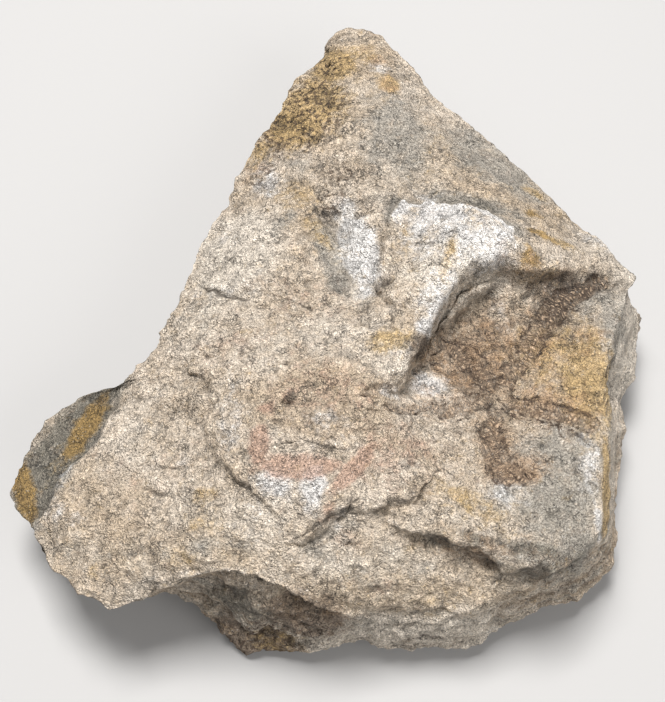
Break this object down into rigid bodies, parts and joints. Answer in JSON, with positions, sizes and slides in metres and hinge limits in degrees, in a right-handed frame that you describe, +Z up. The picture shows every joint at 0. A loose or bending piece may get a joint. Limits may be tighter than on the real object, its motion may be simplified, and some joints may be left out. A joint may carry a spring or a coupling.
{
  "type": "starfish fossil in sandstone",
  "caption": "Loose block of buff sandstone with a five-armed sea star mould sunk in a hollow of its face, lying on its back.",
  "frame": {"origin": "centre of the bounding box on the plane that the block rests on", "axes": "+Z up out of the face with the star, +Y towards the block's pointed end, +X towards the side that holds the star"},
  "size_m": [0.1828, 0.1934, 0.0591],
  "materials": {
    "sandstone": "rough broken buff sandstone with grey, ochre and rust stains"
  },
  "bodies": {
    "root": {"fossil_slab": "sandstone"}
  },
  "joints": []
}
